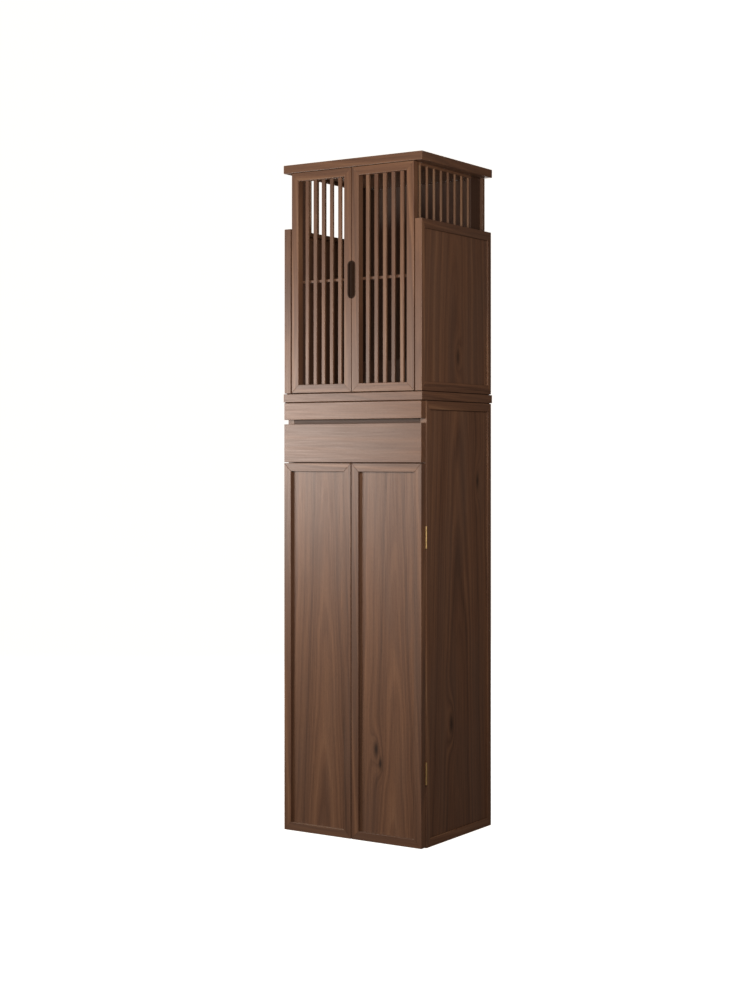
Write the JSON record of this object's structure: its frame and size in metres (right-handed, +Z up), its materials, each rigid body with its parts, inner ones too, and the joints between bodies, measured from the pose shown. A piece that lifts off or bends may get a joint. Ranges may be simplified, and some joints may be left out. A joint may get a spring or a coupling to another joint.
{
  "type": "household altar cabinet",
  "caption": "Tall slim walnut altar cabinet: a panelled cupboard with a drawer and a pull-out tray under an open shrine with slatted doors, slatted side screens and low side shoulders.",
  "frame": {"origin": "on the floor under the middle of the cabinet", "axes": "+Z up, the front with its doors faces -Y, and +X is to the right of someone facing the front"},
  "size_m": [0.4864, 0.4, 1.96],
  "materials": {
    "walnut_front": "black walnut, oiled to a satin sheen",
    "walnut_side": "black walnut, oiled to a satin sheen",
    "walnut_board": "black walnut, oiled to a satin sheen",
    "walnut_inside": "walnut veneer, matt",
    "walnut_pull": "dark stained walnut, satin",
    "brass": "brushed brass"
  },
  "bodies": {
    "cabinet": {"middle_board": "walnut_board", "cornice_board": "walnut_board", "base_reveal_board": "walnut_inside", "shrine_reveal_board": "walnut_inside", "base_side_frame_left": "walnut_side", "base_side_frame_right": "walnut_side", "base_side_panel_left": "walnut_side", "base_side_panel_right": "walnut_side", "base_bottom_board": "walnut_inside", "base_drawer_rail": "walnut_inside", "base_tray_rail": "walnut_inside", "base_back_panel": "walnut_inside", "hinge_lower_carcass_leaf_left": "brass", "hinge_lower_carcass_leaf_right": "brass", "hinge_upper_carcass_leaf_left": "brass", "hinge_upper_carcass_leaf_right": "brass", "shoulder_frame_left": "walnut_side", "shoulder_frame_right": "walnut_side", "shoulder_panel_left": "walnut_side", "shoulder_panel_right": "walnut_side", "shrine_floor_board": "walnut_inside", "shrine_back_panel": "walnut_inside", "shrine_step": "walnut_inside", "shrine_front_post_left": "walnut_side", "shrine_front_post_right": "walnut_side", "shrine_rear_post_left": "walnut_side", "shrine_rear_post_right": "walnut_side", "side_screen_left": "walnut_side", "side_screen_right": "walnut_side"},
    "base_door_left": {"base_door_frame_left": "walnut_front", "base_door_panel_left": "walnut_front", "hinge_lower_door_leaf_left": "brass", "hinge_upper_door_leaf_left": "brass"},
    "shrine_door_left": {"shrine_door_frame_left": "walnut_front", "shrine_door_slat_1_left": "walnut_front", "shrine_door_slat_2_left": "walnut_front", "shrine_door_slat_3_left": "walnut_front", "shrine_door_slat_4_left": "walnut_front", "shrine_door_slat_5_left": "walnut_front", "shrine_door_bar_left": "walnut_front", "shrine_door_pull_left": "walnut_pull"},
    "base_door_right": {"base_door_frame_right": "walnut_front", "base_door_panel_right": "walnut_front", "hinge_lower_door_leaf_right": "brass", "hinge_upper_door_leaf_right": "brass"},
    "shrine_door_right": {"shrine_door_frame_right": "walnut_front", "shrine_door_slat_1_right": "walnut_front", "shrine_door_slat_2_right": "walnut_front", "shrine_door_slat_3_right": "walnut_front", "shrine_door_slat_4_right": "walnut_front", "shrine_door_slat_5_right": "walnut_front", "shrine_door_bar_right": "walnut_front", "shrine_door_pull_right": "walnut_pull"},
    "drawer": {"drawer_front": "walnut_front", "drawer_bottom": "walnut_inside", "drawer_back": "walnut_inside", "drawer_wall_left": "walnut_inside", "drawer_wall_right": "walnut_inside"},
    "offering_tray": {"tray_front": "walnut_front", "tray_board": "walnut_inside"}
  },
  "joints": [
    {"name": "base_door_left_hinge", "type": "hinge", "parent": "cabinet", "child": "base_door_left", "pos_m": [-0.2405, -0.1785, 0.5423], "axis": [0, 0, -1], "range_deg": [0, 180]},
    {"name": "shrine_door_left_pivot", "type": "hinge", "parent": "cabinet", "child": "shrine_door_left", "pos_m": [-0.2065, -0.193, 1.6114], "axis": [0, 0, -1], "range_deg": [0, 110]},
    {"name": "base_door_right_hinge", "type": "hinge", "parent": "cabinet", "child": "base_door_right", "pos_m": [0.2405, -0.1785, 0.5423], "axis": [0, 0, 1], "range_deg": [0, 180]},
    {"name": "shrine_door_right_pivot", "type": "hinge", "parent": "cabinet", "child": "shrine_door_right", "pos_m": [0.2065, -0.193, 1.6114], "axis": [0, 0, 1], "range_deg": [0, 110]},
    {"name": "drawer_slide", "type": "slide", "parent": "cabinet", "child": "drawer", "axis": [0, -1, 0], "range_m": [0, 0.3]},
    {"name": "offering_tray_slide", "type": "slide", "parent": "cabinet", "child": "offering_tray", "axis": [0, -1, 0], "range_m": [0, 0.28]}
  ]
}
